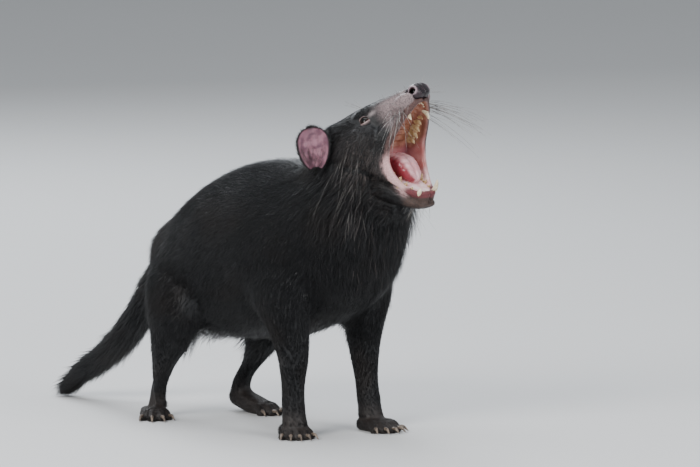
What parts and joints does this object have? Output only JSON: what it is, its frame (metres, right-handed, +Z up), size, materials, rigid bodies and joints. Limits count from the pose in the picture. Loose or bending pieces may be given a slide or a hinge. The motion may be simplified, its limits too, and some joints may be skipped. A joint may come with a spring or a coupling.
{
  "type": "tasmanian devil",
  "caption": "Life-size standing Tasmanian devil, head raised and turned a little left, mouth wide open, bushy tail hanging to the ground.",
  "frame": {"origin": "middle of the whole figure's box, on the floor that the soles stand on", "axes": "+X the way the animal faces, +Y its left, +Z up"},
  "size_m": [0.5838, 0.1768, 0.397],
  "materials": {
    "coat": "short glossy black fur",
    "skin": "bare skin with thin hair",
    "eye": "wet and glossy",
    "nose": "damp dark skin",
    "mouth": "wet pink flesh"
  },
  "bodies": {
    "root": {"torso": "coat", "neck": "coat", "head": "coat", "lower_jaw": "coat", "front_leg_right": "coat", "front_leg_left": "coat", "hind_leg_right": "coat", "hind_leg_left": "coat", "tail": "coat", "ear_right": "skin", "ear_left": "skin", "front_paw_right": "skin", "front_paw_left": "skin", "hind_paw_right": "skin", "hind_paw_left": "skin", "eye_right": "eye", "eye_left": "eye", "nose": "nose", "tongue": "mouth"}
  },
  "joints": []
}
